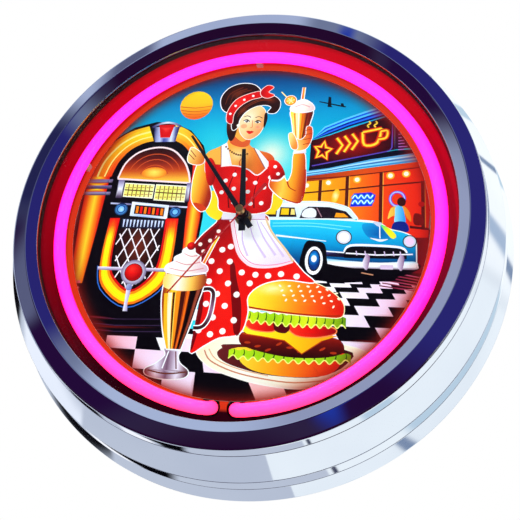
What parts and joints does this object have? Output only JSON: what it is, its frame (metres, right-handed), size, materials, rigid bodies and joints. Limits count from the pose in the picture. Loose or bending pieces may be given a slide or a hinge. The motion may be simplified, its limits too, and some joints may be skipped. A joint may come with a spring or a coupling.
{
  "type": "neon wall clock",
  "caption": "Round wall clock in a stepped, flared chrome case, with a pink neon ring round a printed dial behind flat glass and three turning hands.",
  "frame": {"origin": "centre of the wall pad's rear face, on the dial axis, where the clock touches the wall", "axes": "+Y points into the wall, so the dial faces -Y; +Z points to 12 o'clock; +X is the viewer's right"},
  "size_m": [0.38, 0.0649, 0.38],
  "materials": {
    "chrome_plate": "bright mirror chrome plate",
    "clear_glass": "flat polished float glass",
    "black_rubber": "matt moulded rubber",
    "tray_black": "gloss black moulded plastic",
    "dial_print": "satin printed dial",
    "neon_glass": "lit pink neon glass tube",
    "clear_plastic": "clear moulded plastic",
    "lead_insulation": "silicone lead insulation",
    "inverter_plastic": "textured black plastic",
    "circuit_board": "green lacquered board",
    "zinc_steel": "bright zinc plated steel",
    "cover_black": "fine grained black sheet",
    "nylon": "natural nylon",
    "movement_plastic": "fine spark textured black plastic",
    "battery_wrap": "gloss shrink sleeve",
    "brass": "polished brass",
    "hand_black": "satin black paint",
    "hand_red": "gloss red paint",
    "natural_plastic": "natural acetal"
  },
  "bodies": {
    "case": {"case_shell": "chrome_plate", "front_bezel": "chrome_plate", "front_glass": "clear_glass", "glass_gasket": "black_rubber", "inner_tray": "tray_black", "dial_board": "dial_print", "neon_tube": "neon_glass", "tube_boot_left": "black_rubber", "tube_boot_right": "black_rubber", "tube_clips": "clear_plastic", "lead_left": "lead_insulation", "lead_right": "lead_insulation", "inverter_case": "inverter_plastic", "inverter_lid": "inverter_plastic", "inverter_board": "circuit_board", "inverter_screws": "zinc_steel", "back_cover": "cover_black", "standoffs": "nylon", "cover_screws": "zinc_steel", "cover_seat": "zinc_steel", "tray_screws": "zinc_steel", "wall_pad": "black_rubber", "hanger_plate": "zinc_steel", "hanger_rivets": "zinc_steel", "cord_grommet": "black_rubber", "movement_case": "movement_plastic", "battery_cell": "battery_wrap", "battery_contacts": "zinc_steel", "movement_bushing": "brass", "dial_washer": "brass", "dial_nut": "brass"},
    "hour": {"hour_hand": "hand_black", "hour_pipe": "natural_plastic"},
    "minute": {"minute_hand": "hand_black", "minute_arbor": "natural_plastic"},
    "second": {"second_hand": "hand_red", "second_arbor": "zinc_steel", "second_cap": "brass"},
    "knob": {"set_knob": "natural_plastic"}
  },
  "joints": [
    {"name": "minute_spin", "type": "hinge", "parent": "case", "child": "minute", "pos_m": [0, -0.0434, 0], "axis": [0, 1, 0], "continuous": true},
    {"name": "hour_spin", "type": "hinge", "parent": "case", "child": "hour", "pos_m": [0, -0.0404, 0], "axis": [0, 1, 0], "continuous": true},
    {"name": "second_spin", "type": "hinge", "parent": "case", "child": "second", "pos_m": [0, -0.046, 0], "axis": [0, 1, 0], "continuous": true},
    {"name": "knob_spin", "type": "hinge", "parent": "case", "child": "knob", "pos_m": [0.012, -0.0138, 0.012], "axis": [0, 1, 0], "continuous": true}
  ],
  "couplings": [
    {"joint": "hour_spin", "follows": "minute_spin", "ratio": 0.083333},
    {"joint": "knob_spin", "follows": "minute_spin", "ratio": -1}
  ]
}
